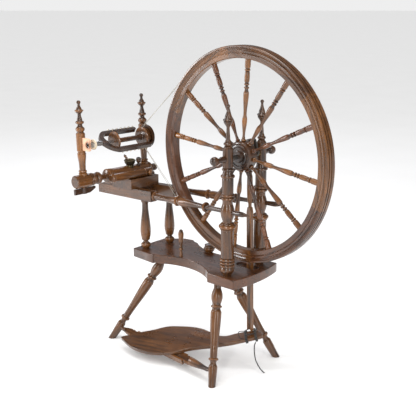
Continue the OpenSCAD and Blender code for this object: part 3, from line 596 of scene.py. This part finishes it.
def leatherFinish(name, hole):
    # Thick undyed leather: pores and fine creases, darker and oily round the hole.
    material, w, shader, coords = newMaterial(name)
    centre = place((leather["hole"][0], 0, leather["hole"][1]))
    vector = w.vector("SUBTRACT", coords.outputs["Object"], tuple(centre))
    away = w.vector("LENGTH", w.vector("MULTIPLY", vector, (1, 0, 1)))
    oiled = w.span(away, (hole + 0.4) * mm, (hole + 5.5) * mm, 1, 0)
    cloud = w.noise(vector, 60, 5, 0.6)
    pores = w.tree.nodes.new("ShaderNodeTexVoronoi")
    w.put(pores.inputs["Vector"], vector)
    pores.inputs["Scale"].default_value = 900
    crease = w.noise(vector, 380, 6, 0.7, 0.6)
    colour = w.mix(w.span(cloud, 0.3, 0.7), (0.66, 0.36, 0.225, 1), (0.83, 0.52, 0.36, 1))
    colour = w.mix(w.math("MULTIPLY", oiled, 0.75), colour, (0.2, 0.085, 0.04, 1))
    creased = w.span(crease, 0.56, 0.72, 0, 0.35)
    w.put(shader.inputs["Base Color"], w.mix(creased, colour, (0.5, 0.26, 0.16, 1)))
    w.put(shader.inputs["Roughness"], w.math("SUBTRACT", w.span(cloud, 0.3, 0.7, 0.55, 0.75),
                                            w.math("MULTIPLY", oiled, 0.25)))
    height = w.math("ADD", w.math("MULTIPLY", pores.outputs["Distance"], 0.6),
                    w.math("MULTIPLY", crease, 0.5))
    w.put(shader.inputs["Normal"], w.bump(height, 0.4, 0.0004))
    return material


def makeLeather(look, node, body, hole):
    # A plate with a square end in the maiden, two rounded corners and a round hole of radius hole.
    c = look["corner"]
    right, low, high, left = look["right"], look["low"], look["high"], look["left"]
    quarter = np.linspace(0, math.pi / 2, 9)
    bottom = np.stack([right - c + c * np.sin(quarter), low + c - c * np.cos(quarter)], 1)
    top = np.stack([right - c + c * np.cos(quarter), high - c + c * np.sin(quarter)], 1)
    outline = np.vstack([[(left, high), (left, low)], bottom, top])
    angle = np.linspace(0, -2 * math.pi, 48, endpoint=False)
    rim = np.array(look["hole"]) + hole * np.stack([np.cos(angle), np.sin(angle)], 1)
    y = (middle(node)[1] - wheelCentre[1]) / mm
    stand = Matrix.Translation(Vector(place((0, y, 0)))) @ Matrix.Rotation(math.pi / 2, 4, "X")
    obj = platePiece(node.replace("_", "") + "Bearing", [outline, rim], look["thick"], look["edge"], stand)
    wear(obj, leatherFinish(node + "Leather", hole))
    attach(obj, body)
    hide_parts(node)


makeLeather(leather, "leather_near", "near_maiden", 8.9)
makeLeather(leather, "leather_far", "mother_of_all", 5.05)
print("leather made")

# Table with its rounded edge and the slot for the footman
table = {"edge": 2.5, "bulge": 35, "endBulge": -14, "slot": (-14, 44), "slotHalf": 22,
         "slotRadius": 17}


def bulged(a, b, sag, steps):
    # Points on the arc from a to b that stands off the straight line by sag on its left.
    a, b = np.array(a, float), np.array(b, float)
    d = b - a
    span = np.linalg.norm(d)
    radius = (span**2 / 4 + sag**2) / (2 * abs(sag))
    centre = (a + b) / 2 + np.array([-d[1], d[0]]) / span * (sag - math.copysign(radius, sag))
    start = math.atan2(a[1] - centre[1], a[0] - centre[0])
    angle = start - np.linspace(0, 4 * math.atan(2 * sag / span), steps + 1)
    return centre + radius * np.stack([np.cos(angle), np.sin(angle)], 1)


def makeTable(look):
    # Straight steps at the ends and a bulged arc along each side. The slot is two half circles
    # joined by straight sides.
    low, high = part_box("table")
    thick = (high.z - low.z) / mm
    outline = np.vstack([
        [(-384, -86), (-291, -88), (-289, -79)], bulged((-277, -76), (-62, -77), look["bulge"], 40),
        [(-56, -79), (-54, -87), (43, -82)], bulged((43, -82), (30, 125), look["endBulge"], 24)[1:],
        [(-54, 112), (-56, 101)], bulged((-62, 96), (-277, 95), look["bulge"], 40),
        [(-297, 99), (-309, 107), (-341, 99), (-391, 51)]])
    end = np.linspace(-math.pi / 2, math.pi / 2, 20)
    half, r = look["slotHalf"], look["slotRadius"]
    one = np.stack([half + r * np.cos(end), r * np.sin(end)], 1)
    slot = np.vstack([one, -one])[::-1] + np.array(look["slot"])
    stand = Matrix.Translation((wheelCentre[0], wheelCentre[1], (low.z + high.z) / 2))
    obj = platePiece("tableTop", [outline, slot], thick, look["edge"], stand)
    woodFinish("tableWood", obj, "red", rub=0.8, shift=0.83, way=(1, 0.02, 0))
    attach(obj, "frame")
    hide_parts("table")


makeTable(table)

# The small dark knob that stands beside the cup
sideKnob = {"at": (-432, -18, -90), "profile": [  # radius and height in millimetres
    (6.5, 0), (7, 1), (7, 3), (4.6, 5), (4.2, 9), (6.4, 12), (8, 16), (8.4, 20), (7.4, 24),
    (4.6, 27), (0.4, 28)]}


def makeKnob(look):
    smooth = rounded(look["profile"], False, 4)
    obj = turnedPiece("sideKnob", smooth, place(look["at"]), (0.1, 0, 1), 48)
    woodFinish("sideKnobWood", obj, "deep", girth=8.4, coat=0.8)
    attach(obj, "mother_of_all")


makeKnob(sideKnob)
print("table and knob made")

# Wire hooks along the flyer's arms
hooks = {"count": 7, "pitch": 16, "first": -126, "arm": 43, "face": 5.5, "tall": 8.5, "curl": 2.6,
         "wire": 1.3, "tilt": 26, "spindle": (-411, 5.5)}


def makeHooks(look):
    # Each hook stands out of the arm's face and curls over: a straight stem and then most of a
    # circle of radius curl.
    t = math.radians(look["tilt"])
    turn = np.array([[math.cos(t), 0, math.sin(t)], [0, 1, 0], [-math.sin(t), 0, math.cos(t)]])
    a = np.linspace(0, 1.35 * math.pi, 14)
    r = look["curl"]
    stem = np.stack([np.zeros(4), np.linspace(-1.2, look["tall"] - r, 4, endpoint=False)], 1)
    bow = np.stack([r - r * np.cos(a), look["tall"] - r + r * np.sin(a)], 1)
    shape = np.vstack([stem, bow])
    brass = metalFinish("hookBrass", (0.74, 0.62, 0.4), (0.35, 0.25, 0.12), 0.25, 120,
                        middle("flyer_hooks"))
    for side, word in ((-1, "Left"), (1, "Right")):
        for k in range(look["count"]):
            y = look["first"] + look["pitch"] * k
            local = np.stack([np.full(len(shape), side * look["arm"]), y + shape[:, 0],
                              -side * (look["face"] + shape[:, 1])], 1)
            path = place(local @ turn.T + np.array([look["spindle"][0], 0, look["spindle"][1]]))
            obj = cordMesh("flyerHook%s%d" % (word, k + 1), path, look["wire"] * mm, sides=8)
            wear(obj, brass)
            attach(obj, "flyer")
    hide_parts("flyer_hooks")
    wear(nodes["flyer_hooks"], brass)


makeHooks(hooks)

# Finishes of the CAD nodes that stay
turnedWood = {  # node: (stain, widest radius in millimetres)
    "leg_left": ("walnut", 17), "leg_near": ("walnut", 17), "leg_far": ("walnut", 17),
    "post_near": ("walnut", 25), "post_far": ("walnut", 25), "rail_near": ("walnut", 15),
    "rail_far": ("walnut", 15), "short_post_near": ("walnut", 16.5), "short_post_far": ("walnut", 16.5),
    "table_peg": ("warm", 8.6), "treadle_bar": ("walnut", 14), "footman": ("warm", 11),
    "mother_bar": ("walnut", 23), "front_bar": ("walnut", 14), "maiden_near": ("warm", 14),
    "maiden_far": ("walnut", 14), "tension_screw": ("walnut", 13), "threading_hook": ("warm", 4.8)}
boardWood = {  # node: (stain, rub)
    "bench_near": ("walnut", 0.7), "bench_far": ("walnut", 0.8), "bench_end": ("deep", 0.4),
    "sled": ("walnut", 0.5), "maiden_key": ("deep", 0.3), "flyer_arms": ("deep", 0.7)}
acrossWood = {  # node: (stain, widest radius in millimetres, the axis it was turned about)
    "table_boss": ("walnut", 18, (0, 0, 1)), "hub": ("deep", 42, (0, 1, 0)),
    "flyer_whorl": ("deep", 36, (0, 1, 0)), "bobbin": ("walnut", 31, (0, 1, 0)),
    "brake_knob": ("warm", 9.4, (1, 0, 0)), "axle_knobs": ("deep", 12.8, (0, 1, 0))}
spokeStains = ("warm", "walnut", "red")
felloeStains = ("walnut", "warm", "red", "walnut", "red", "warm")


def finishWood():
    for n, (stain, girth) in turnedWood.items():
        woodFinish(n + "Wood", nodes[n], stain, girth=girth)
    for k, (n, (stain, rub)) in enumerate(boardWood.items()):
        woodFinish(n + "Wood", nodes[n], stain, rub=rub, shift=0.37 * (k + 1))
    for n, (stain, girth, way) in acrossWood.items():
        centre = middle(n)
        if n == "axle_knobs":  # one at each end of the wheel's axis
            centre = np.array([wheelCentre[0], centre[1], wheelCentre[2]])
        woodFinish(n + "Wood", nodes[n], stain, girth=girth, way=way, centre=centre)
    for k in range(12):
        n = "spoke_%02d" % (k + 1)
        woodFinish(n + "Wood", nodes[n], spokeStains[k % 3], girth=8)
    for k, stain in enumerate(felloeStains):
        n = "felloe_%d" % (k + 1)
        woodFinish(n + "Wood", nodes[n], stain, rub=0.6, shift=0.53 * (k + 1))


finishWood()
print("wood finished")


collarInside = 8.5  # millimetres from the spindle's line


def spindleFinish(name):
    # Grey steel with a cream collar: the collar is where the distance from the spindle's line is
    # more than its inside radius.
    material = metalFinish(name, (0.5, 0.5, 0.5), (0.26, 0.25, 0.24), 0.28, 55, middle("spindle"))
    w = Wiring(material.node_tree)
    shader = next(n for n in material.node_tree.nodes if n.type == "BSDF_PRINCIPLED")
    coords = next(n for n in material.node_tree.nodes if n.type == "TEX_COORD")
    line = middle("spindle")
    offset = w.vector("SUBTRACT", coords.outputs["Object"], tuple(line))
    away = w.vector("LENGTH", w.vector("MULTIPLY", offset, (1, 0, 1)))
    collar = w.math("GREATER_THAN", away, collarInside * mm)
    for label, value in (("Base Color", (0.72, 0.62, 0.47, 1)), ("Roughness", 0.5), ("Metallic", 0.0)):
        socket = shader.inputs[label]
        before = socket.links[0].from_socket
        if label == "Base Color":
            stain = w.span(w.noise(offset, 240, 4, 0.6), 0.5, 0.75, 0, 0.5)
            w.put(socket, w.mix(collar, before, w.mix(stain, value, (0.42, 0.31, 0.19, 1))))
        else:
            w.put(socket, w.math("ADD", w.math("MULTIPLY", collar, value),
                                 w.math("MULTIPLY", w.math("SUBTRACT", 1.0, collar), before)))
    return material


def finishRest():
    wear(nodes["spindle"], spindleFinish("spindleSteel"))
    wear(nodes["axle"], metalFinish("axleIron", (0.2, 0.19, 0.18), (0.06, 0.045, 0.035), 0.35, 50,
                                    wheelCentre))
    wear(nodes["axle_bearings"], metalFinish("bearingBrass", (0.55, 0.38, 0.16), (0.16, 0.1, 0.05),
                                             0.28, 70, wheelCentre))
    wear(nodes["cup"], metalFinish("cupMetal", (0.13, 0.1, 0.055), (0.035, 0.027, 0.016), 0.28, 90,
                                   middle("cup"), way=(0, 0, 1)))
    for hidden, finish in (("drive_band", bandCotton), ("lashing", blackCord), ("cord_tail", blackCord)):
        wear(nodes[hidden], finish)


finishRest()
print("metal finished")


# Floor and light
floorLook = {"reach": 80.0, "dull": 0.84, "pale": 0.88, "rough": 0.85}
surround = {"onWood": 0.97, "inGloss": 0.2, "seen": 0.86}  # strength for soft light, shine, camera


def makeStage(look):
    r = look["reach"]
    mesh = bpy.data.meshes.new("floor")
    mesh.from_pydata([(-r, -r, 0), (r, -r, 0), (r, r, 0), (-r, r, 0)], [], [(0, 1, 2, 3)])
    floor = bpy.data.objects.new("floor", mesh)
    bpy.context.scene.collection.objects.link(floor)
    material, w, shader, coords = newMaterial("paleFloor")
    cloud = w.noise(coords.outputs["Object"], 3.0, 3, 0.5)
    dull, pale = ((grey, grey, grey, 1) for grey in (look["dull"], look["pale"]))
    w.put(shader.inputs["Base Color"], w.mix(cloud, dull, pale))
    shader.inputs["Roughness"].default_value = look["rough"]
    wear(floor, material)


def areaLight(name, spot, aim, size, power, colour):
    data = bpy.data.lights.new(name, "AREA")
    data.shape, data.size, data.size_y = "RECTANGLE", size[0], size[1]
    data.energy, data.color = power, colour
    lamp = bpy.data.objects.new(name, data)
    lamp.location = spot
    lamp.rotation_euler = (Vector(aim) - Vector(spot)).to_track_quat("-Z", "Y").to_euler()
    bpy.context.scene.collection.objects.link(lamp)


lights = {  # name: (place in metres, size, power in watts, colour)
    "leftStrip": ((-1.9, -1.7, 1.3), (0.3, 1.9), 34, (0.97, 0.98, 1)),
    "frontStrip": ((1.5, -2.4, 1.5), (0.25, 1.8), 27, (1, 0.97, 0.93)),
    "rightStrip": ((2.6, -0.2, 1.4), (0.3, 1.8), 24, (1, 0.97, 0.94)),
    "topPanel": ((-0.1, -0.5, 2.9), (1.2, 1.2), 24, (1, 0.99, 0.97)),
    "backPanel": ((-2.6, 2.2, 2.6), (1.4, 1.0), 14, (0.88, 0.9, 1))}


def makeLight(look):
    # One white surround with three strengths: what the camera sees, what lights the wood, and a
    # much dimmer one in reflections, so that dark lacquer stays dark. The strips give the long
    # highlights on turned parts.
    world = bpy.data.worlds.new("studio")
    world.use_nodes = True
    tree = world.node_tree
    background = tree.nodes["Background"]
    background.inputs["Color"].default_value = (1.0, 1.0, 1.0, 1)
    w = Wiring(tree)
    ray = tree.nodes.new("ShaderNodeLightPath")
    lit = w.span(ray.outputs["Is Glossy Ray"], 0, 1, look["onWood"], look["inGloss"], smooth=False)
    strength = w.span(ray.outputs["Is Camera Ray"], 0, 1, lit, look["seen"], smooth=False)
    w.put(background.inputs["Strength"], strength)
    bpy.context.scene.world = world
    for name, (spot, size, power, colour) in lights.items():
        areaLight(name, spot, (0, 0, 0.5), size, power, colour)


makeStage(floorLook)
makeLight(surround)
bpy.context.scene.view_settings.view_transform = "Standard"
print("stage and light set")
